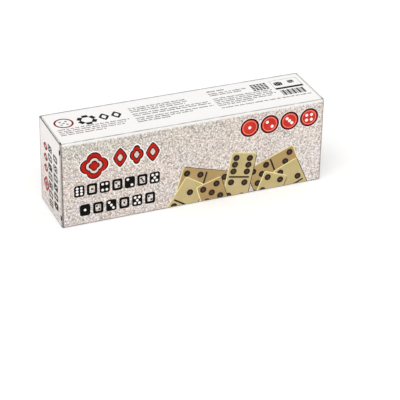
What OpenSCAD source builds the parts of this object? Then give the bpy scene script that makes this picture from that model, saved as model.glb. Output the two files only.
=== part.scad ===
// Folding carton for a set of dominoes: one die-cut paperboard blank, wrapped
// into a glued tube and closed at both ends by a slit-lock tuck.
// X runs along the carton, the front panel faces -Y, and Z is up from the table.

/* [Carton] */
// Length over the two closed end panels
carton_length = 186; // [120:1:260]
// Depth over the front and back panels
carton_depth = 43.5; // [36:0.5:70]
// Height over the top and bottom panels
carton_height = 62; // [54:0.5:100]

/* [Board] */
// Thickness of the paperboard
board = 0.5; // [0.35:0.05:0.8]
// Outer radius of the long folds between the panels
fold_radius = 0.9; // [0.85:0.05:1.6]
// Gap between a crease bead and the cut end that it folds on
crease_gap = 0.05; // [0.03:0.01:0.1]
// Radius of the front panel's four corners
panel_corner_radius = 1.2; // [0.5:0.1:2.5]

/* [Glue seam] */
// Width of the glue flap inside the back panel
glue_flap_width = 14; // [8:0.5:22]
// How much shorter the glue flap's free edge is at each end
glue_flap_taper = 6; // [2:0.5:12]
// How far the glue flap stays inside the bottom panel's ends
glue_flap_setback = 2; // [1:0.5:6]
// Height of the back panel's cut edge above the table
seam_lift = 0.2; // [0.1:0.05:0.5]

/* [End panels] */
// Gap between an end panel's cut edges and the planes of the top and bottom
end_panel_inset = 0.6; // [0.4:0.1:1.2]
// Gap between an end panel and the dust flaps behind it
flap_gap = 0.15; // [0.1:0.05:0.3]
// How far the front panel's cut ends stay behind the end panels' faces
front_setback = 0.2; // [0:0.1:0.5]

/* [Tuck flaps] */
// Length of a tuck flap behind the front panel
tuck_length = 13; // [10:0.5:15]
// Radius of a tuck flap's leading corners
tuck_corner_radius = 8; // [3:0.5:9]
// Gap between a tuck flap and the front panel
tuck_clearance = 0.5; // [0.4:0.05:0.8]
// Angle by which a tuck flap leans away from the front panel
tuck_lean = 4; // [3.5:0.5:6]
// Length of the lock slit at each end of the tuck crease
slit_length = 8.2; // [5:0.1:10]
// Length of the notch that ends a lock slit
notch_length = 3.7; // [1.5:0.1:4.5]
// Depth of that notch in the end panel
notch_depth = 2; // [0.6:0.1:3]
// Depth of that notch in the tuck flap
ear_notch_depth = 1.5; // [0.8:0.1:2.5]
// How far a tuck flap's sides stay inside the end panel's cut edges
ear_inset = 1.2; // [0.6:0.1:2.5]
// Gap between the dust flaps and the ears that lock behind them
ear_clearance = 0.4; // [0.2:0.1:1]

/* [Dust flaps] */
// Length of a dust flap from its crease
dust_length = 22; // [14:0.5:25]
// Slant of a dust flap's side next to the end panel's crease, in degrees
dust_slant = 29; // [28:0.5:35]
// Slant of a dust flap's side next to the tuck flap, in degrees
dust_front_slant = 3; // [1:0.5:8]
// Distance from the end panel's crease to a dust flap's side
dust_setback = 2.5; // [2:0.1:5]
// Gap between a dust flap's side and the tuck flap
dust_clearance = 1.2; // [1:0.1:2.5]
// Radius of a dust flap's corners
dust_corner_radius = 4; // [2:0.5:6]

/* [Hidden] */
$fn = 48;

// A crease bead is a little fatter than the board, and lies in its outer face
bead_radius = 0.6 * board;
// Relief on the inside of the end panel, which the tuck flap folds against
crease_relief = 0.8 * board;
// Allowance by which cutting tools run past what they cut
over = 1;

half_length = carton_length / 2;
half_depth = carton_depth / 2;

// Crease of an end panel, along Z at the back
end_crease_x = half_length - bead_radius;
end_crease_y = half_depth - bead_radius;
// Crease of a tuck flap, along Z behind the front panel
tuck_crease_y = -half_depth + board + tuck_clearance + bead_radius;
// Creases of the dust flaps, along Y; the lower one mirrors the upper one
dust_face_x = half_length - board - flap_gap;
dust_crease_x = dust_face_x - bead_radius;
dust_crease_z = carton_height - bead_radius;

// Half lengths of the four walls, from the middle of the carton to their cut ends
front_half = half_length - front_setback;
back_half = end_crease_x - bead_radius - crease_gap;
lid_half = dust_crease_x - bead_radius - crease_gap;

// Height of the end panels and of the crease between their lock slits
end_panel_bottom = end_panel_inset;
end_panel_top = carton_height - end_panel_inset;
crease_bottom = end_panel_bottom + slit_length;
crease_top = end_panel_top - slit_length;
// Distance from the tuck crease to the ears, which start behind the dust flaps
ear_start = 2 * board + flap_gap + ear_clearance - bead_radius;

printed = [0.87, 0.83, 0.79];
white = [0.96, 0.95, 0.93];
bare = [0.80, 0.76, 0.68];

// ---------------------------------------------------------------- helpers

// Rectangle with four round corners
module rounded_rect(low, high, r) {
    translate([low[0] + r, low[1]]) square([high[0] - low[0] - 2 * r, high[1] - low[1]]);
    translate([low[0], low[1] + r]) square([high[0] - low[0], high[1] - low[1] - 2 * r]);
    for (a = [low[0] + r, high[0] - r], b = [low[1] + r, high[1] - r])
        translate([a, b]) circle(r);
}

// Rectangle given by two opposite corners
module rect(low, high) {
    translate(low) square(high - low);
}

// Extrudes a (y, z) outline along X, from x_from to x_to
module along_x(x_from, x_to) {
    translate([x_from, 0, 0]) rotate([90, 0, 90]) linear_extrude(x_to - x_from) children();
}

// Extrudes an (x, z) outline along Y, from y_from to y_to
module along_y(y_from, y_to) {
    translate([0, y_to, 0]) rotate([90, 0, 0]) linear_extrude(y_to - y_from) children();
}

// ---------------------------------------------------------------- tube

// Wrapped board seen from the end, with its back face at y = y_back
module board_ring(y_back) {
    difference() {
        rounded_rect([-half_depth, 0], [y_back, carton_height], fold_radius);
        rounded_rect([-half_depth + board, board], [y_back - board, carton_height - board],
                     fold_radius - board);
    }
}

// Wedge that a 45 degree mitre leaves to one wall; the wall runs from a to b,
// and inward points from the wall into the tube
module mitre_wedge(a, b, inward) {
    run = (b - a) / norm(b - a);
    reach = 2 * fold_radius;
    polygon([a, b, b + reach * (inward - run), a + reach * (inward + run)]);
}

module front_panel() {
    color(printed) intersection() {
        along_x(-front_half, front_half) intersection() {
            board_ring(half_depth);
            mitre_wedge([-half_depth, 0], [-half_depth, carton_height], [1, 0]);
        }
        along_y(-half_depth - over, -half_depth + 2 * fold_radius + over)
            rounded_rect([-front_half, 0], [front_half, carton_height], panel_corner_radius);
    }
}

module top_panel() {
    color(white) along_x(-lid_half, lid_half) intersection() {
        board_ring(half_depth);
        mitre_wedge([-half_depth, carton_height], [half_depth, carton_height], [0, -1]);
    }
}

// Hangs from the top panel's fold and ends in a flat cut edge just above the table
module back_panel() {
    middle = carton_height / 2;
    color(printed) along_x(-back_half, back_half) {
        intersection() {
            board_ring(half_depth);
            mitre_wedge([half_depth, middle - 2 * fold_radius], [half_depth, carton_height], [-1, 0]);
            rect([0, middle], [half_depth, carton_height]);
        }
        rect([half_depth - board, seam_lift], [half_depth, middle]);
    }
}

module bottom_panel() {
    color(white) along_x(-lid_half, lid_half) intersection() {
        board_ring(half_depth - board);
        mitre_wedge([-half_depth, 0], [half_depth - board, 0], [0, 1]);
    }
}

// Glued flat to the inside of the back panel, with slanted ends
module glue_flap() {
    seam_y = half_depth - board;
    crease_half = lid_half - glue_flap_setback;
    color(bare) intersection() {
        along_x(-crease_half, crease_half) intersection() {
            board_ring(seam_y);
            mitre_wedge([seam_y, 0], [seam_y, carton_height], [-1, 0]);
        }
        along_y(0, carton_depth) polygon([
            [-crease_half, 0], [crease_half, 0],
            [crease_half - glue_flap_taper, glue_flap_width],
            [-crease_half + glue_flap_taper, glue_flap_width]
        ]);
    }
}

// ---------------------------------------------------------------- ends
// Each end is drawn for +X and mirrored for -X.

// The end panel turns on a bead at the back and carries the tuck flap in front,
// between two lock slits whose inner ends are notched
module end_panel() {
    front_edge = tuck_crease_y - bead_radius;
    crease_edge = tuck_crease_y + bead_radius + crease_gap;
    color(printed) difference() {
        translate([0, 0, end_panel_bottom]) linear_extrude(end_panel_top - end_panel_bottom) {
            translate([end_crease_x, end_crease_y]) circle(bead_radius);
            rect([half_length - board, front_edge], [half_length, end_crease_y]);
        }
        along_x(half_length - board - over, half_length + over) {
            rect([front_edge - over, crease_bottom], [crease_edge, crease_top]);
            for (z = [crease_bottom - notch_length, crease_top])
                rect([front_edge - over, z], [front_edge + notch_depth, z + notch_length]);
        }
        // Relief where the tuck flap folds in against the end panel
        translate([0, 0, crease_bottom]) linear_extrude(crease_top - crease_bottom)
            polygon([
                [half_length - board - over, crease_edge - over],
                [half_length - board + crease_relief, crease_edge],
                [half_length - board, crease_edge + crease_relief],
                [half_length - board - over, crease_edge + crease_relief]
            ]);
    }
}

// Outline of a tuck flap in (x, z), with its crease at x = 0 and its tip at -X
module tuck_outline() {
    ear_bottom = end_panel_bottom + ear_inset;
    ear_top = end_panel_top - ear_inset;
    rect([-ear_start, crease_bottom], [bead_radius, crease_top]);
    difference() {
        intersection() {
            rect([-tuck_length, ear_bottom], [-ear_start, ear_top]);
            rounded_rect([-tuck_length, ear_bottom], [tuck_length, ear_top], tuck_corner_radius);
        }
        for (z = [crease_bottom - notch_length, crease_top])
            rect([-ear_start - ear_notch_depth, z], [0, z + notch_length]);
    }
}

module tuck_flap() {
    color(bare) translate([end_crease_x, tuck_crease_y, 0]) rotate([0, 0, -tuck_lean])
        intersection() {
            linear_extrude(carton_height) {
                circle(bead_radius);
                rect([-tuck_length, -bead_radius], [0, board - bead_radius]);
            }
            along_y(-over, over) tuck_outline();
        }
}

// What rounding by an arc cuts from a corner between a side that faces out_a and
// one that faces out_b; the arc has its centre at c
module corner_waste(c, r, out_a, out_b) {
    difference() {
        polygon([c, c + 2 * r * out_a, c + 2 * r * (out_a + out_b), c + 2 * r * out_b]);
        translate(c) circle(r);
    }
}

// Outline of the upper dust flap in (y, z): its sides slant in towards the tip
module dust_outline() {
    tip = dust_crease_z - dust_length;
    back_y = end_crease_y - dust_setback;
    front_y = tuck_crease_y + bead_radius + dust_clearance;
    back_tip = back_y - dust_length * tan(dust_slant);
    front_tip = front_y + dust_length * tan(dust_front_slant);
    r = dust_corner_radius;
    back_arc = [back_tip - r * tan((90 - dust_slant) / 2), tip + r];
    front_arc = [front_tip + r * tan((90 - dust_front_slant) / 2), tip + r];
    difference() {
        polygon([
            [front_y, carton_height], [back_y, carton_height], [back_y, dust_crease_z],
            [back_tip, tip], [front_tip, tip], [front_y, dust_crease_z]
        ]);
        corner_waste(back_arc, r, [cos(dust_slant), -sin(dust_slant)], [0, -1]);
        corner_waste(front_arc, r, [-cos(dust_front_slant), -sin(dust_front_slant)], [0, -1]);
    }
}

module dust_flap() {
    color(bare) intersection() {
        along_y(-half_depth, half_depth) {
            translate([dust_crease_x, dust_crease_z]) circle(bead_radius);
            rect([dust_face_x - board, dust_crease_z - dust_length], [dust_face_x, dust_crease_z]);
        }
        along_x(dust_face_x - board - over, dust_face_x + over) dust_outline();
    }
}

module lower_dust_flap() {
    translate([0, 0, carton_height]) mirror([0, 0, 1]) dust_flap();
}

module at_left() {
    mirror([1, 0, 0]) children();
}

// ---------------------------------------------------------------- nodes

front_panel();
top_panel();
back_panel();
bottom_panel();
glue_flap();
at_left() end_panel();  // left_end_panel
at_left() tuck_flap();  // left_tuck_flap
at_left() dust_flap();  // left_dust_flap_top
at_left() lower_dust_flap();  // left_dust_flap_bottom
end_panel();  // right_end_panel
tuck_flap();  // right_tuck_flap
dust_flap();  // right_dust_flap_top
lower_dust_flap();  // right_dust_flap_bottom
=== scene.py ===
"""The looks of a printed paperboard carton for dominoes: its stock, its print, a studio and a camera.

Art is drawn in millimetres on the carton's outer faces, as thin sheets of ink that lie on the board.
"""

import math
import random

import bmesh
import bpy
from mathutils import Matrix, Vector


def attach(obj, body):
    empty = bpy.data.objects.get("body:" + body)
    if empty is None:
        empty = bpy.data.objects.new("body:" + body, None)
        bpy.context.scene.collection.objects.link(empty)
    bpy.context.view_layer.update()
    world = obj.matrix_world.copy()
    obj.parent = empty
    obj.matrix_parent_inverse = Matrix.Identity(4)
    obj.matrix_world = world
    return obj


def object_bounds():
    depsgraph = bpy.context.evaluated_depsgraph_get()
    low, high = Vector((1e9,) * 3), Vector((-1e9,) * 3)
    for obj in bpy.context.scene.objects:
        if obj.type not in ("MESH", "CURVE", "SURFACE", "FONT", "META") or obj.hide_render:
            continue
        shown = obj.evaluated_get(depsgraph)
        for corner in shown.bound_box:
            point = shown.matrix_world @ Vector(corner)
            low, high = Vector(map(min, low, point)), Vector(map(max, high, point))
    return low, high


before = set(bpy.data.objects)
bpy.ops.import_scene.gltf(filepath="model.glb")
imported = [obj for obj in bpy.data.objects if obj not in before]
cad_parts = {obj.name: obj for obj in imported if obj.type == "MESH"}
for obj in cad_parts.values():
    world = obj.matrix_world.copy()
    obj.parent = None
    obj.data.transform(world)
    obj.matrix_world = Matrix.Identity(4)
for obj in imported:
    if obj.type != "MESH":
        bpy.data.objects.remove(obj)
cad_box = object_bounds()

MM = 0.001
X, Y, Z = (1, 0, 0), (0, 1, 0), (0, 0, 1)

# ---------------------------------------------------------------- sizes, read from the frame

low, high = (Vector(corner) for corner in cad_box)
CENTRE = (low + high) / 2
# In millimetres. The carton is centred left to right and front to back, and stands on its underside
LENGTH, HEIGHT = (high.x - low.x) / MM, (high.z - low.z) / MM
RIGHT, BACK = high.x / MM, high.y / MM


class Face:
    """One printed face of the carton. Art on it has a across and b up, in millimetres from one corner."""

    def __init__(self, name, body, corner, across, up):
        self.name = name
        self.body = body
        self.corner = Vector(corner)
        self.across = Vector(across)
        self.up = Vector(up)
        self.out = self.across.cross(self.up)

    def at(self, point, height):
        """Where a point of the art lies in the scene, at a height in metres above the face."""
        a, b = point
        return self.corner + (a * self.across + b * self.up) * MM + self.out * height


FRONT = Face("front", "carton", (low.x, low.y, low.z), X, Z)
BACK_SIDE = Face("back", "carton", (high.x, high.y, low.z), (-1, 0, 0), Z)
TOP = Face("top", "carton", (low.x, low.y, high.z), X, Y)
# The ends' art reads upwards
LEFT_END = Face("left_end", "left_end", (low.x, low.y, low.z), Z, Y)
RIGHT_END = Face("right_end", "right_end", (high.x, high.y, low.z), Z, (0, -1, 0))


# ---------------------------------------------------------------- materials

# Fine relief of board and ink: its depth and the width of its grain in millimetres, and its strength
RELIEF_DEPTH = 0.02
RELIEF_GRAIN = 0.25
RELIEF_STRENGTH = 0.6


def linear(colour):
    """Linear RGBA of an 8-bit sRGB colour."""

    def channel(value):
        value /= 255
        return value / 12.92 if value <= 0.04045 else ((value + 0.055) / 1.055) ** 2.4

    return (*(channel(v) for v in colour), 1.0)


class Graph:
    """A material's node tree. An input may be a number, a vector or another node's output."""

    def __init__(self, name):
        self.material = bpy.data.materials.new(name)
        self.material.use_nodes = True
        self.tree = self.material.node_tree
        self.tree.nodes.clear()
        self.output = self.tree.nodes.new("ShaderNodeOutputMaterial")
        self.shader = self.tree.nodes.new("ShaderNodeBsdfPrincipled")
        self.tree.links.new(self.shader.outputs["BSDF"], self.output.inputs["Surface"])
        self.coordinates = self.tree.nodes.new("ShaderNodeTexCoord")
        self.point = self.coordinates.outputs["Object"]
        self.normal = self.coordinates.outputs["Normal"]

    def feed(self, socket, value):
        if isinstance(value, bpy.types.NodeSocket):
            self.tree.links.new(value, socket)
        else:
            socket.default_value = value

    def math(self, operation, a, b=0.0, clamp=False):
        node = self.tree.nodes.new("ShaderNodeMath")
        node.operation = operation
        node.use_clamp = clamp
        self.feed(node.inputs[0], a)
        self.feed(node.inputs[1], b)
        return node.outputs[0]

    def side(self, axis):
        """How squarely the surface faces either way along an axis."""
        return self.math("ABSOLUTE", self.dot(self.normal, axis))

    def dot(self, a, b):
        node = self.tree.nodes.new("ShaderNodeVectorMath")
        node.operation = "DOT_PRODUCT"
        self.feed(node.inputs[0], a)
        self.feed(node.inputs[1], b)
        return node.outputs["Value"]

    def fade(self, value, start, end, to_low=0.0, to_high=1.0):
        """Turns smoothly from to_low at start to to_high at end."""
        node = self.tree.nodes.new("ShaderNodeMapRange")
        node.interpolation_type = "SMOOTHSTEP"
        self.feed(node.inputs["Value"], value)
        node.inputs["From Min"].default_value = start
        node.inputs["From Max"].default_value = end
        node.inputs["To Min"].default_value = to_low
        node.inputs["To Max"].default_value = to_high
        return node.outputs["Result"]

    def noise(self, feature, detail=2.0, rough=0.5, stretch=(1, 1, 1)):
        """Noise from 0 to 1, with features about feature millimetres wide, stretched along the axes."""
        scaled = self.tree.nodes.new("ShaderNodeMapping")
        self.feed(scaled.inputs["Vector"], self.point)
        scaled.inputs["Scale"].default_value = [1 / s for s in stretch]
        node = self.tree.nodes.new("ShaderNodeTexNoise")
        self.feed(node.inputs["Vector"], scaled.outputs["Vector"])
        node.inputs["Scale"].default_value = 1 / (feature * MM)
        node.inputs["Detail"].default_value = detail
        node.inputs["Roughness"].default_value = rough
        return node.outputs["Fac"]

    def cells(self, feature):
        """Distance to the nearest cell centre, with cells about feature millimetres wide."""
        node = self.tree.nodes.new("ShaderNodeTexVoronoi")
        node.feature = "F1"
        self.feed(node.inputs["Vector"], self.point)
        node.inputs["Scale"].default_value = 1 / (feature * MM)
        return node.outputs["Distance"]

    def mix(self, factor, a, b):
        """Colour a where factor is 0, and b where it is 1."""
        node = self.tree.nodes.new("ShaderNodeMix")
        node.data_type = "RGBA"
        self.feed(node.inputs["Factor"], factor)
        # The sockets for colours share their names with others, so they go by number
        self.feed(node.inputs[6], a)
        self.feed(node.inputs[7], b)
        return node.outputs[2]

    def bump(self, height):
        """Normal of a surface with the fine relief, at that height in shares of its depth."""
        node = self.tree.nodes.new("ShaderNodeBump")
        node.inputs["Strength"].default_value = RELIEF_STRENGTH
        node.inputs["Distance"].default_value = RELIEF_DEPTH * MM
        self.feed(node.inputs["Height"], height)
        return node.outputs["Normal"]


SPECKLE_LOW = linear((136, 124, 116))
SPECKLE_HIGH = linear((255, 251, 246))
TINT_CREAM = linear((217, 202, 189))
TINT_COOL = linear((202, 197, 185))
TINT_ROSE = linear((222, 203, 196))
TINT_LILAC = linear((214, 203, 206))
TINT_PALE = linear((234, 225, 221))
COATED_WHITE = linear((246, 244, 242))
WARM_WHITE = linear((244, 240, 237))
ROSE_WHITE = linear((249, 242, 240))
# Colours of painted shade, mixed with wear, along folds, edges and creases. The deepest is painted shade
# alone, in slits and gaps
FOLD_SHADE_GREY = linear((150, 146, 142))
EDGE_SHADE_BROWN = linear((132, 120, 110))
EDGE_SHADE_GREY = linear((112, 110, 108))
CREASE_SHADE_BROWN = linear((96, 84, 77))
DEEP_SHADE = linear((30, 26, 24))
CUT_EDGE = linear((226, 222, 214))
BARE_BOARD = linear((206, 198, 185))
FIBRE = linear((182, 171, 155))

# Sizes of the pattern's features, in millimetres
GRAIN = 1.1
CURL = 2.5
FLECK = 2.8
ROSE_PATCH = 15
COOL_PATCH = 17
LILAC_PATCH = 19


def share_of(g, axis, length):
    """Place of a point along an axis, in shares of a length in millimetres."""
    return g.dot(g.point, [v / (length * MM) for v in axis])


def millimetres(g, axis):
    """Place of a point along an axis, in millimetres."""
    return g.dot(g.point, [v / MM for v in axis])


def patches(g, size, also):
    """Soft patches about that wide, to which another mask is added."""
    return g.math("ADD", g.fade(g.noise(size, 1.0), 0.5, 0.7, 0.0, 0.6), also, True)


def tints(g):
    """The tints under the pattern, which drift over the sheet."""
    height = share_of(g, Z, HEIGHT)
    along = share_of(g, X, LENGTH)
    low_down = g.fade(height, 0.8, 0.1, 0.0, 0.25)
    top_left = g.math("MULTIPLY", g.fade(height, 0.5, 0.95), g.fade(along, 0.3, -0.5))
    to_the_right = g.fade(along, 0.1, 0.5, 0.0, 0.45)
    tint = g.mix(g.fade(g.noise(ROSE_PATCH, 1.0), 0.4, 0.65, 0.0, 0.8), TINT_CREAM, TINT_ROSE)
    tint = g.mix(patches(g, LILAC_PATCH, low_down), tint, TINT_LILAC)
    tint = g.mix(patches(g, COOL_PATCH, top_left), tint, TINT_COOL)
    return g.mix(to_the_right, tint, TINT_PALE)


def speckled_print(g):
    """Printed pebble-grain pattern: grey curls and pale flecks over patches of tint."""
    grain = g.noise(GRAIN, 2.0, 0.6)
    curl = g.math("ABSOLUTE", g.math("SUBTRACT", g.noise(CURL, 1.5), 0.5))
    colour = g.mix(g.fade(curl, 0.06, 0.01, 0.0, 0.75), tints(g), SPECKLE_LOW)
    colour = g.mix(g.fade(grain, 0.42, 0.3, 0.0, 0.6), colour, SPECKLE_LOW)
    colour = g.mix(g.fade(grain, 0.5, 0.64, 0.0, 0.8), colour, SPECKLE_HIGH)
    return g.mix(g.fade(g.cells(FLECK), 0.3, 0.12, 0.0, 0.6), colour, SPECKLE_HIGH)


def scuffed_and_shaded(g, colour, places, scuff_and_shade, most=0.75):
    """A print whose edges show scuffs and painted shade, here more and there less, and at most by that share.

    Places hold an axis, a coordinate along it and a width, in millimetres.
    """
    near = 0.0
    for axis, place, width in places:
        away = g.math("ABSOLUTE", g.math("SUBTRACT", millimetres(g, axis), place))
        near = g.math("MAXIMUM", near, g.fade(away, 1.3 * width, 0.5 * width))
    broken = g.fade(g.noise(5, 2.0), 0.25, 0.6, 0.6 * most, most)
    return g.mix(g.math("MULTIPLY", near, broken), colour, scuff_and_shade)


def front_print(g):
    """The pattern, which stops short of the fold to the top."""
    edge = g.math("ADD", millimetres(g, Z), g.math("MULTIPLY", g.noise(2.5, 2.0), 0.8))
    colour = g.mix(g.fade(edge, HEIGHT - 2.8, HEIGHT - 0.9), speckled_print(g), COATED_WHITE)
    # Scuffs and painted shade along the right edge, and along the bottom where the carton meets the floor
    colour = scuffed_and_shaded(g, colour, [(X, RIGHT, 1.1), (Z, 0, 1.1)], EDGE_SHADE_BROWN, 0.85)
    # Scuffs and darker painted shade along the left edge, at the crease to the end
    return scuffed_and_shaded(g, colour, [(X, -RIGHT, 1.4)], CREASE_SHADE_BROWN, 0.95)


def end_print(g):
    """The same pattern, which fades out to white towards the top of an end."""
    uneven_height = g.math("ADD", share_of(g, Z, HEIGHT), g.math("MULTIPLY", g.noise(12, 1.0), 0.2))
    colour = g.mix(g.fade(uneven_height, 0.35, 1.0, 0.1, 0.9), speckled_print(g), ROSE_WHITE)
    # Scuffs and painted shade along the back and bottom edges
    colour = scuffed_and_shaded(g, colour, [(Y, BACK, 1.6), (Z, 0, 1.4)], FOLD_SHADE_GREY, 0.9)
    # Painted shade along the top of the end, where it meets the gap under the top panel
    return scuffed_and_shaded(g, colour, [(Z, HEIGHT - 0.5, 0.5)], DEEP_SHADE)


def white_print(g):
    """Plain coated white, with a breath of a warmer one."""
    return g.mix(g.fade(g.noise(20, 2.0), 0.45, 0.8, 0.0, 0.35), COATED_WHITE, WARM_WHITE)


def edge_shaded_white_print(g):
    """The same white, with scuffs and painted shade at the back edge and at the right end."""
    return scuffed_and_shaded(g, white_print(g), [(Y, BACK, 1.9), (X, RIGHT - 0.6, 1.1)], EDGE_SHADE_GREY, 0.95)


BOARD_SPECULAR = 0.3
BARE_EXTRA_ROUGHNESS = 0.4
# Cosines between a surface and its board's outward direction where the bare back begins and is full
BACK_BEGINS, BACK_FULL = -0.4, -0.5
# The reach of a board whose coating runs round a crease. Its outward is the slant between both coated sides
CREASED_REACH = 0.6


def board(name, outward, colour_of_print, reach=0.45, shaded_edges=()):
    """Paperboard: printed and coated where it faces outward, with a pale core and a grey back.

    The coating ends where the cosine between the surface and outward falls to reach. Shaded edges hold the
    directions of the cut edges on which shade is painted, and how dark that painted shade is.
    """
    g = Graph(name)
    facing = g.dot(g.normal, tuple(Vector(outward).normalized()))
    coated = g.fade(facing, reach - 0.05, reach + 0.05)
    back = g.fade(facing, BACK_BEGINS, BACK_FULL)
    fibres = g.noise(0.5, 4.0, 0.65, (3, 1, 1))
    grey_back = g.mix(g.fade(fibres, 0.35, 0.75), BARE_BOARD, FIBRE)
    core = g.mix(g.fade(fibres, 0.45, 0.8, 0.0, 0.6), CUT_EDGE, FIBRE)
    # Where the board folds its coating wears and painted shade darkens the fold, so it shows as a thin grey
    # line
    flatness = 0.0
    for axis in (X, Y, Z):
        flatness = g.math("MAXIMUM", flatness, g.side(axis))
    worn_and_shaded = g.math("MULTIPLY", g.fade(flatness, 0.985, 0.9), g.fade(g.noise(7, 2.0), 0.2, 0.7, 0.35, 0.9))
    print_colour = g.mix(worn_and_shaded, colour_of_print(g), FOLD_SHADE_GREY)
    colour = g.mix(coated, g.mix(back, core, grey_back), print_colour)
    # Painted shade on the cut edges that face these directions
    for direction, shade_amount in shaded_edges:
        edge = g.fade(g.dot(g.normal, direction), 0.8, 0.9, 0.0, shade_amount)
        colour = g.mix(edge, colour, DEEP_SHADE)
    g.feed(g.shader.inputs["Base Color"], colour)
    coated_roughness = g.fade(g.noise(6, 2.0), 0.3, 0.7, 0.36, 0.46)
    extra = g.math("MULTIPLY", g.math("SUBTRACT", 1.0, coated), BARE_EXTRA_ROUGHNESS)
    g.feed(g.shader.inputs["Roughness"], g.math("ADD", coated_roughness, extra))
    g.shader.inputs["Specular IOR Level"].default_value = BOARD_SPECULAR
    waves = g.math("MULTIPLY", g.noise(30, 1.0), 6.0)
    g.feed(g.shader.inputs["Normal"], g.bump(g.math("ADD", g.noise(RELIEF_GRAIN, 3.0, 0.6), waves)))
    return g.material


# A bright highlight would turn black ink grey
INK_SPECULAR = 0.06


def slightly_lighter(colour):
    """A linear RGBA colour with a little more of everything."""
    return (*(min(1.0, c * 1.18 + 0.002) for c in colour[:3]), 1.0)


def ink(name, colour, second=None):
    """Printed ink: its tone drifts a little, or runs to a second colour."""
    g = Graph(name)
    base = linear(colour)
    other = linear(second) if second else slightly_lighter(base)
    drift = g.math("MULTIPLY", g.fade(g.noise(9, 2.0), 0.3, 0.7), 0.7)
    mottle = g.math("ADD", drift, g.math("MULTIPLY", g.noise(0.4, 2.0), 0.3))
    g.feed(g.shader.inputs["Base Color"], g.mix(mottle, base, other))
    g.feed(g.shader.inputs["Roughness"], g.fade(g.noise(6, 2.0), 0.3, 0.7, 0.4, 0.5))
    g.shader.inputs["Specular IOR Level"].default_value = INK_SPECULAR
    g.feed(g.shader.inputs["Normal"], g.bump(g.noise(RELIEF_GRAIN, 3.0, 0.6)))
    return g.material


INKS = {
    "red": ink("ink_red", (200, 48, 38), (214, 62, 48)),
    "crimson": ink("ink_crimson", (172, 22, 16), (196, 38, 24)),
    "paper": ink("ink_paper", (228, 216, 208), (214, 200, 190)),
    "maroon": ink("ink_maroon", (44, 6, 8)),
    "coral": ink("ink_coral", (238, 150, 136)),
    "black": ink("ink_black", (6, 5, 6)),
    "white": ink("ink_white", (250, 242, 236)),
    "brick": ink("ink_brick", (112, 22, 34)),
    "grey": ink("ink_grey", (128, 128, 134)),
    "slate": ink("ink_slate", (60, 60, 66)),
    "graphite": ink("ink_graphite", (40, 40, 46)),
    "mauve": ink("ink_mauve", (98, 66, 72)),
    "tile_light": ink("ink_tile_light", (204, 183, 138), (190, 175, 120)),
    "tile_dark": ink("ink_tile_dark", (184, 157, 107), (172, 144, 96)),
    "tile_edge": ink("ink_tile_edge", (228, 216, 160)),
    "umber": ink("ink_umber", (44, 34, 30), (58, 44, 38)),
    "pip_glint": ink("ink_pip_glint", (76, 58, 48)),
}


# ---------------------------------------------------------------- outlines, as lists of (a, b) points


def around(steps):
    """Evenly spaced angles of one turn."""
    return [2 * math.pi * i / steps for i in range(steps)]


def disc(centre, radius, steps=32):
    return [(centre[0] + radius * math.cos(t), centre[1] + radius * math.sin(t)) for t in around(steps)]


def rounded_box(centre, width, height, radius, steps=5):
    points = []
    for quarter, (sign_a, sign_b) in enumerate(((1, 1), (-1, 1), (-1, -1), (1, -1))):
        corner = (centre[0] + sign_a * (width / 2 - radius), centre[1] + sign_b * (height / 2 - radius))
        for i in range(steps + 1):
            angle = math.pi / 2 * (quarter + i / steps)
            points.append((corner[0] + radius * math.cos(angle), corner[1] + radius * math.sin(angle)))
    return points


def lozenge(centre, half_width, half_height, steps=40, roundness=1.3):
    """A diamond with slightly swollen sides."""

    def signed_power(value):
        return math.copysign(abs(value) ** (2 / roundness), value)

    points = []
    for angle in around(steps):
        a = centre[0] + half_width * signed_power(math.cos(angle))
        b = centre[1] + half_height * signed_power(math.sin(angle))
        points.append((a, b))
    return points


LOBE_SHARE = 0.54  # radius of a lobe, in shares of the rosette's reach


def rosette(centre, reach, tall=1.0, steps=64):
    """Four round lobes whose tips lie at reach from the centre, stretched upwards by tall."""
    lobe = LOBE_SHARE * reach
    middle = reach - lobe
    points = []
    for angle in around(steps):
        off = (angle + math.pi / 4) % (math.pi / 2) - math.pi / 4
        r = middle * math.cos(off) + math.sqrt(lobe**2 - (middle * math.sin(off)) ** 2)
        points.append((centre[0] + r * math.cos(angle), centre[1] + tall * r * math.sin(angle)))
    return points


def turned(points, centre, degrees):
    """Points given about the origin, turned and moved to centre."""
    c, s = math.cos(math.radians(degrees)), math.sin(math.radians(degrees))
    return [(centre[0] + c * a - s * b, centre[1] + s * a + c * b) for a, b in points]


def clipped(points, lowest):
    """The part of an outline with b above lowest."""
    kept = []
    for (a0, b0), (a1, b1) in zip(points, points[1:] + points[:1]):
        if b0 >= lowest:
            kept.append((a0, b0))
        if (b0 >= lowest) != (b1 >= lowest):
            t = (lowest - b0) / (b1 - b0)
            kept.append((a0 + t * (a1 - a0), lowest))
    return kept


# ---------------------------------------------------------------- print

INK_STEP = 0.003 * MM  # each layer of ink lies this much above the one before
INK_ROOT = 0.05 * MM  # and all reach this deep into the board


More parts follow.
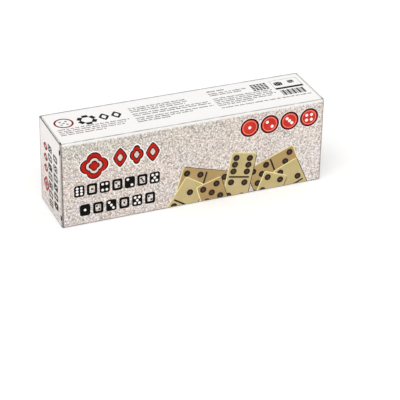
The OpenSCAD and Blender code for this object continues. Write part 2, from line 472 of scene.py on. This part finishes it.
class Paint:
    """Ink on one face. Shapes of one colour become one piece; a later layer lies over an earlier one."""

    def __init__(self, face, slot="printed_board"):
        self.face = face
        self.slot = slot
        self.layer = 1
        self.colours = {}

    def over(self):
        self.layer += 1

    def under(self, layers=1):
        self.layer -= layers

    def fill(self, colour, points):
        if len(points) > 2:
            self.colours.setdefault(colour, []).append((self.layer, [points]))

    def ring(self, colour, outer, inner):
        """A band between two outlines with as many points each."""
        self.colours.setdefault(colour, []).append((self.layer, [outer, inner]))

    def solid(self, mesh, height, loops):
        """Raises one outline, or the band between two, from inside the board to height."""
        tops = [[mesh.verts.new(self.face.at(p, height)) for p in loop] for loop in loops]
        bases = [[mesh.verts.new(self.face.at(p, -INK_ROOT)) for p in loop] for loop in loops]
        count = len(tops[0])
        following = [(i, (i + 1) % count) for i in range(count)]
        if len(loops) == 1:
            mesh.faces.new(tops[0])
            mesh.faces.new(bases[0][::-1])
        else:
            for i, j in following:
                mesh.faces.new((tops[0][i], tops[0][j], tops[1][j], tops[1][i]))
                mesh.faces.new((bases[0][i], bases[1][i], bases[1][j], bases[0][j]))
                mesh.faces.new((tops[1][i], tops[1][j], bases[1][j], bases[1][i]))
        for i, j in following:
            mesh.faces.new((tops[0][j], tops[0][i], bases[0][i], bases[0][j]))

    def finish(self):
        for colour, shapes in self.colours.items():
            mesh = bmesh.new()
            for layer, loops in shapes:
                self.solid(mesh, layer * INK_STEP, loops)
            name = f"{self.face.name}_print_{colour}"
            data = bpy.data.meshes.new(name)
            mesh.to_mesh(data)
            mesh.free()
            piece = bpy.data.objects.new(name, data)
            bpy.context.scene.collection.objects.link(piece)
            data.materials.append(INKS[colour])
            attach(piece, self.face.body)


# Places of the pips in a half tile for each value, in steps from its middle
CORNERS = [(-1, 1), (1, -1), (1, 1), (-1, -1)]
PIPS = {
    0: [],
    1: [(0, 0)],
    2: CORNERS[:2],
    3: [(0, 0)] + CORNERS[:2],
    4: CORNERS,
    5: [(0, 0)] + CORNERS,
    6: CORNERS + [(-1, 0), (1, 0)],
}


def pips(paint, colour, value, centre, spread, radius, steps=12):
    """Pips of a value about a centre. Spread holds the steps between them, across and up."""
    for a, b in PIPS[value]:
        paint.fill(colour, disc((centre[0] + a * spread[0], centre[1] + b * spread[1]), radius, steps))


# Radii of a small half tile and its pips, in shares of its width
GLYPH_CORNER = 0.22
GLYPH_HOLE_CORNER = 0.08
GLYPH_PIP = 0.13
OUTLINED_GLYPH_PIP = 0.8 * GLYPH_PIP


def solid_glyph(paint, value, centre, width, height):
    """A small black half tile with white pips."""
    paint.fill("black", rounded_box(centre, width, height, GLYPH_CORNER * width))
    paint.over()
    pips(paint, "white", value, centre, (0.2 * width, 0.25 * height), GLYPH_PIP * width)
    paint.under()


def outlined_glyph(paint, value, centre, width, height, stroke):
    """A small half tile drawn as an outline, with black pips."""
    outer = rounded_box(centre, width, height, GLYPH_CORNER * width)
    inner = rounded_box(centre, width - 2 * stroke, height - 2 * stroke, GLYPH_HOLE_CORNER * width)
    paint.ring("black", outer, inner)
    pips(paint, "black", value, centre, (0.12 * width, 0.15 * height), OUTLINED_GLYPH_PIP * width)


def glyph_row(paint, values, start, baseline, pitch, size, weight):
    """A row of half tiles, by turns solid black and outlined. Weight is the outline's share of the width."""
    width, height = size
    for i, value in enumerate(values):
        centre = (start + width / 2 + i * pitch, baseline + height / 2)
        if i % 2:
            outlined_glyph(paint, value, centre, width, height, weight * width)
        else:
            solid_glyph(paint, value, centre, width, height)


# Bands of an ornament, each over the one before: colour, share of the whole size, and growth in millimetres
SOLID_PART = (("white", 1.0, 0.8), ("maroon", 1.0, 0.0), ("crimson", 1.0, -0.85))
WITH_EYE = SOLID_PART + (("maroon", 0.36, 0.75), ("paper", 0.36, 0.0))
WITH_RING = SOLID_PART + (("maroon", 0.56, 0.85), ("paper", 0.56, 0.0))
WITH_HEART = WITH_RING + (("maroon", 0.3, 0.85), ("crimson", 0.3, 0.0))


def ornament(paint, shape, centre, scale, bands=WITH_EYE):
    """One red ornament with an open middle: every red part has a dark outline."""
    for colour, size, grow in bands:
        paint.fill(colour, shape(centre, size * scale, grow * scale))
        paint.over()
    paint.under(len(bands))


def tall_lozenge(centre, scale, grow):
    return lozenge(centre, 4.9 * scale + grow, 7.2 * scale + grow)


def tall_rosette(centre, scale, grow):
    return rosette(centre, 4.9 * scale + grow, 1.42)


def round_rosette(centre, scale, grow):
    return rosette(centre, 9.8 * scale + grow)


UPPER_VALUES = (6, 1, 4, 2, 2, 3, 5)
LOWER_VALUES = (1, 2, 3, 1, 5, 2)


def front_title(paint):
    """A row of red ornaments over two rows of small half tiles."""
    ornament(paint, round_rosette, (22.6, 42.4), 1.0, WITH_HEART)
    ornament(paint, tall_lozenge, (40.4, 45.0), 1.0)
    ornament(paint, tall_rosette, (51.8, 45.0), 1.0)
    ornament(paint, tall_lozenge, (63.0, 45.0), 1.0)
    size = (7.2, 8.5)
    glyph_row(paint, UPPER_VALUES, start=8.6, baseline=21.2, pitch=8.7, size=size, weight=0.24)
    glyph_row(paint, LOWER_VALUES, start=12.3, baseline=6.6, pitch=9.05, size=size, weight=0.24)


def end_title(paint):
    """The same rows, smaller."""
    ornament(paint, round_rosette, (17.4, 31.2), 0.56, WITH_HEART)
    ornament(paint, tall_lozenge, (29.4, 31.2), 0.6)
    ornament(paint, tall_rosette, (37.4, 31.2), 0.6)
    ornament(paint, tall_lozenge, (45.4, 31.2), 0.6)
    size = (4.8, 7.8)
    glyph_row(paint, UPPER_VALUES, start=4.8, baseline=18.2, pitch=6.75, size=size, weight=0.26)
    glyph_row(paint, LOWER_VALUES, start=8.6, baseline=7.1, pitch=6.95, size=size, weight=0.3)


BADGE_BANDS = (("white", 7.1), ("maroon", 6.8), ("red", 5.7), ("coral", 5.1), ("red", 4.7))
BADGE_PITCH = 14.5


def badges(paint):
    """Four red discs that count from one to four in pips."""
    for i in range(4):
        centre = (131.8 + BADGE_PITCH * i, 49.9)
        for colour, radius in BADGE_BANDS:
            paint.fill(colour, disc(centre, radius, 48))
            paint.over()
        pips(paint, "white", i + 1, centre, (1.8, 1.8), 1.1, 20)
        paint.under(len(BADGE_BANDS))


TILE_WIDTH, TILE_LENGTH = 18.6, 36.6
TILE_CORNER = 1.6
TILE_BEVEL = 0.75
TILE_PIP, TILE_GLINT = 2.35, 1.0  # radii
TILE_PIP_STEP = 0.27 * TILE_WIDTH
TRIM = 0.9  # the picture ends this far above the carton's foot

# A loose heap of tiles: centre, turn in degrees, the two values, and whether it lies in shade
HEAP = [
    ((99.5, 15.2), 74, (4, 2), True),
    ((150.5, 16.2), -69, (3, 5), True),
    ((84.6, 1.6), -33, (1, 6), False),
    ((166.0, 0.4), 24, (2, 0), False),
    ((125.0, 14.0), -11, (6, 4), False),
    ((108.0, -2.8), 17, (5, 1), True),
    ((146.0, -5.4), -21, (4, 3), False),
]


def tile_pips(values):
    """Centres of the pips on both halves of an upright tile about the origin."""
    return [
        (TILE_PIP_STEP * a, side * TILE_LENGTH / 4 + TILE_PIP_STEP * b)
        for value, side in zip(values, (1, -1))
        for a, b in PIPS[value]
    ]


def printed_tile(paint, centre, turn, values, shaded):
    """A domino tile as flat artwork: shadow, rim, face, dividing bar and pips."""
    face_size = (TILE_WIDTH - TILE_BEVEL, TILE_LENGTH - TILE_BEVEL)

    def part(colour, points):
        paint.fill(colour, clipped(turned(points, centre, turn), TRIM))

    part("umber", rounded_box((0.5, -0.5), TILE_WIDTH, TILE_LENGTH, TILE_CORNER))
    paint.over()
    part("tile_edge", rounded_box((0, 0), TILE_WIDTH, TILE_LENGTH, TILE_CORNER))
    paint.over()
    part("tile_dark" if shaded else "tile_light", rounded_box((0.3, -0.3), *face_size, 1.4))
    paint.over()
    part("umber", rounded_box((0, 0), 0.82 * TILE_WIDTH, 1.25, 0.5))
    for spot in tile_pips(values):
        part("umber", disc(spot, TILE_PIP, 24))
    paint.over()
    for spot in tile_pips(values):
        part("pip_glint", disc(spot, TILE_GLINT, 16))
    paint.over()


def fine_print(paint, colour, start, end, b, height, rng):
    """A line of fine print seen from afar: words of three to ten close ticks, and no letters."""
    tick, gap = 0.36 * height, 0.1 * height
    a = start
    while a < end:
        for _ in range(rng.randint(3, 10)):
            rise = height * rng.choice((0.72, 0.72, 0.72, 0.76, 1.0))
            paint.fill(colour, [(a, b), (a + tick, b), (a + tick, b + rise), (a, b + rise)])
            a += tick + gap
            if a >= end:
                return
        a += 6 * gap


LEADING = 2.5


def text_block(paint, left, top, widths, rng, colour="graphite", height=1.4):
    """Lines of fine print. Widths holds each line's length."""
    for i, width in enumerate(widths):
        fine_print(paint, colour, left, left + width, top - i * LEADING, height, rng)


def top_marks(paint):
    """A ring with pips, a wheel of six blocks and two open diamonds."""
    ring_at, wheel_at = (11.4, 27.0), (27.2, 26.4)
    paint.ring("brick", disc(ring_at, 6.6, 48), disc(ring_at, 5.3, 48))
    pips(paint, "grey", 5, ring_at, (2.0, 2.0), 0.9)
    block = [(-2.3, 3.5), (2.3, 3.5), (1.9, 6.6), (-1.9, 6.6)]
    for i in range(6):
        paint.fill("black", turned(block, wheel_at, 60 * i))
    for centre in ((39.0, 26.8), (47.6, 26.8)):
        paint.ring("black", lozenge(centre, 3.6, 4.9, 40, 1.15), lozenge(centre, 1.7, 2.6, 40, 1.15))


def top_text(paint, rng):
    """All the fine print of the top, from left to right."""
    text_block(paint, 4.5, 17.8, (49, 46, 44, 30), rng, "mauve")
    text_block(paint, 57.5, 31.0, (40, 41, 38), rng)
    text_block(paint, 57.5, 22.6, (53, 54), rng)
    text_block(paint, 57.5, 16.4, (55, 40, 22), rng)
    text_block(paint, 115.5, 35.6, (12,), rng, height=1.7)
    text_block(paint, 115.5, 32.4, (27, 23), rng)
    text_block(paint, 115.5, 24.6, (43, 42, 44, 40, 26), rng)
    fine_print(paint, "black", 116, 181.5, 10.6, 1.3, rng)


def square_grid(paint):
    """A regular grid of black squares."""
    pitch = 2.4
    for i in range(5):
        for j in range(4):
            paint.fill("black", rounded_box((147.6 + pitch * i, 27.9 + pitch * j), 1.85, 1.75, 0.1))


def dice_panel(paint):
    """A framed panel with the faces of two dice above a thick line."""
    frame_centre, large_die, small_die = (171.6, 31.0), (166.2, 31.4), (175.8, 32.2)
    paint.ring("grey", rounded_box(frame_centre, 20.4, 12.2, 1.0), rounded_box(frame_centre, 19.8, 11.6, 0.8))
    paint.over()
    paint.fill("black", rounded_box((171.6, 24.6), 20.4, 2.4, 0.3))
    paint.fill("black", rounded_box(large_die, 5.8, 5.2, 1.6))
    paint.fill("slate", rounded_box(small_die, 4.4, 4.2, 1.2))
    paint.over()
    pips(paint, "white", 5, large_die, (1.5, 1.3), 0.4)
    pips(paint, "white", 3, small_die, (1.1, 1.0), 0.4)


def upright_bars(paint):
    """A plain row of bars, of which every third is twice as wide."""
    bar, pitch, low_end, high_end = 0.55, 1.16, 14.0, 21.6
    for i in range(15):
        a = 163.0 + i * pitch
        wide = bar * (2 if i % 3 == 1 else 1)
        paint.fill("slate", [(a, low_end), (a + wide, low_end), (a + wide, high_end), (a, high_end)])


def top_print(paint, rng):
    """Marks, fine print and a panel, all without letters."""
    top_marks(paint)
    top_text(paint, rng)
    square_grid(paint)
    dice_panel(paint)
    upright_bars(paint)


def print_carton():
    """Prints every face but the bottom. The back repeats the front."""
    for face in (FRONT, BACK_SIDE):
        side = Paint(face)
        front_title(side)
        badges(side)
        for tile in HEAP:
            printed_tile(side, *tile)
        side.finish()
    top = Paint(TOP, "white_board")
    top_print(top, random.Random(7))
    top.finish()
    for face in (LEFT_END, RIGHT_END):
        end = Paint(face)
        end_title(end)
        end.finish()


# Cut edges with painted shade: at the lock slits, where they face forward, and along the top of an end
FORWARD_SHADED_EDGES = (((0, -1, 0), 0.95),)
END_SHADED_EDGES = FORWARD_SHADED_EDGES + ((Z, 0.8),)


def dress_board():
    """Gives every node its stock, by the way that its printed side faces."""
    stocks = {
        "front_panel": board("stock_front", (0, -1, 0), front_print),
        "back_panel": board("stock_back", Y, speckled_print),
        "top_panel": board("stock_top", Z, edge_shaded_white_print),
        "bottom_panel": board("stock_bottom", (0, 0, -1), white_print),
        "glue_flap": board("stock_glue_flap", Y, white_print),
        "left_end_panel": board("stock_left_end", (-1, 1, 0), end_print, CREASED_REACH, END_SHADED_EDGES),
        "right_end_panel": board("stock_right_end", (1, 1, 0), end_print, CREASED_REACH, END_SHADED_EDGES),
        "left_tuck_flap": board("stock_left_tuck", (-1, -1, 0), white_print, CREASED_REACH),
        "right_tuck_flap": board("stock_right_tuck", (1, -1, 0), white_print, CREASED_REACH),
    }
    for side, sign in (("left", -1), ("right", 1)):
        for end, up in (("top", 1), ("bottom", -1)):
            name = f"{side}_dust_flap_{end}"
            outward = (sign, 0, up)
            stocks[name] = board(f"stock_{name}", outward, white_print, CREASED_REACH, FORWARD_SHADED_EDGES)
    for name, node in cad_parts.items():
        node.data.materials.clear()
        node.data.materials.append(stocks[name])


# ---------------------------------------------------------------- studio and camera

CAMERA_YAW = 22.99
CAMERA_PITCH = 29.89
CAMERA_ROLL = -1.10
CAMERA_DISTANCE = 1.1278
# How far the carton's centre lies right of and above the picture's centre
CARTON_OFFSET = (-0.01146, 0.03475)
SENSOR = 36.0
FOCAL_LENGTH = 151.35

WORLD_STRENGTH = 0.62
FLOOR_SIZE = 3.0
FLOOR_DROP = 0.03  # millimetres below the carton's foot
FLOOR_GLOW = 0.2  # added for the camera and in reflections, so that the floor looks white
FLOOR_TONES = linear((236, 236, 236)), linear((240, 240, 239))


def add_camera():
    """The photograph's view of the carton. Yaw turns the camera to the right, and pitch down."""
    yaw, pitch, roll = (math.radians(v) for v in (CAMERA_YAW, CAMERA_PITCH, CAMERA_ROLL))
    forward = Vector((math.cos(pitch) * math.sin(yaw), math.cos(pitch) * math.cos(yaw), -math.sin(pitch)))
    level = Vector((math.cos(yaw), -math.sin(yaw), 0))
    rise = level.cross(forward)
    right = math.cos(roll) * level - math.sin(roll) * rise
    up = math.sin(roll) * level + math.cos(roll) * rise
    data = bpy.data.cameras.new("camera")
    data.sensor_fit = "HORIZONTAL"
    data.sensor_width = SENSOR
    data.lens = FOCAL_LENGTH
    camera = bpy.data.objects.new("camera", data)
    place = CENTRE - CARTON_OFFSET[0] * right - CARTON_OFFSET[1] * up - CAMERA_DISTANCE * forward
    turn = Matrix((right, up, -forward)).transposed()
    camera.matrix_world = Matrix.Translation(place) @ turn.to_4x4()
    bpy.context.scene.collection.objects.link(camera)
    bpy.context.scene.camera = camera


def add_sun(name, azimuth, elevation, strength, spread):
    """A soft sun at that elevation and azimuth, which counts from the front towards the right."""
    data = bpy.data.lights.new(name, "SUN")
    data.energy = strength
    data.angle = math.radians(spread)
    sun = bpy.data.objects.new(name, data)
    a, e = math.radians(azimuth), math.radians(elevation)
    source = Vector((math.sin(a) * math.cos(e), -math.cos(a) * math.cos(e), math.sin(e)))
    sun.rotation_euler = source.to_track_quat("Z", "Y").to_euler()
    bpy.context.scene.collection.objects.link(sun)


def add_world():
    """White to the camera and in reflections, and a soft even light on the carton."""
    world = bpy.data.worlds.new("studio")
    bpy.context.scene.world = world
    world.use_nodes = True
    tree = world.node_tree
    tree.nodes.clear()
    output = tree.nodes.new("ShaderNodeOutputWorld")
    light, seen = tree.nodes.new("ShaderNodeBackground"), tree.nodes.new("ShaderNodeBackground")
    light.inputs["Strength"].default_value = WORLD_STRENGTH
    seen.inputs["Strength"].default_value = 1.0
    rays = tree.nodes.new("ShaderNodeLightPath")
    shown = rays.outputs["Is Camera Ray"]
    for kind in ("Is Glossy Ray", "Is Transmission Ray"):
        either = tree.nodes.new("ShaderNodeMath")
        either.operation = "MAXIMUM"
        tree.links.new(shown, either.inputs[0])
        tree.links.new(rays.outputs[kind], either.inputs[1])
        shown = either.outputs[0]
    mix = tree.nodes.new("ShaderNodeMixShader")
    tree.links.new(shown, mix.inputs[0])
    tree.links.new(light.outputs[0], mix.inputs[1])
    tree.links.new(seen.outputs[0], mix.inputs[2])
    tree.links.new(mix.outputs[0], output.inputs["Surface"])
    for node in (light, seen):
        node.inputs["Color"].default_value = (1, 1, 1, 1)


def add_floor():
    """A pale floor, lifted to white for the camera and in reflections, that keeps the carton's shadow."""
    mesh = bmesh.new()
    bmesh.ops.create_grid(mesh, x_segments=1, y_segments=1, size=FLOOR_SIZE / 2)
    data = bpy.data.meshes.new("floor")
    mesh.to_mesh(data)
    mesh.free()
    floor = bpy.data.objects.new("floor", data)
    floor.location = (0, 0, low.z - FLOOR_DROP * MM)
    bpy.context.scene.collection.objects.link(floor)
    g = Graph("floor_paper")
    g.feed(g.shader.inputs["Base Color"], g.mix(g.noise(400, 2.0), *FLOOR_TONES))
    g.shader.inputs["Roughness"].default_value = 0.9
    rays = g.tree.nodes.new("ShaderNodeLightPath")
    reflected = g.math("MAXIMUM", rays.outputs["Is Glossy Ray"], rays.outputs["Is Transmission Ray"])
    shown = g.math("MAXIMUM", rays.outputs["Is Camera Ray"], reflected)
    g.shader.inputs["Emission Color"].default_value = (1, 1, 1, 1)
    g.feed(g.shader.inputs["Emission Strength"], g.math("MULTIPLY", shown, FLOOR_GLOW))
    data.materials.append(g.material)


def light_studio():
    add_world()
    add_sun("key", azimuth=-50, elevation=58, strength=1.1, spread=40)
    add_sun("fill", azimuth=20, elevation=30, strength=0.55, spread=60)
    add_sun("side", azimuth=-100, elevation=20, strength=0.25, spread=60)


add_camera()
dress_board()
print_carton()
add_floor()
light_studio()
bpy.context.scene.view_settings.view_transform = "Standard"
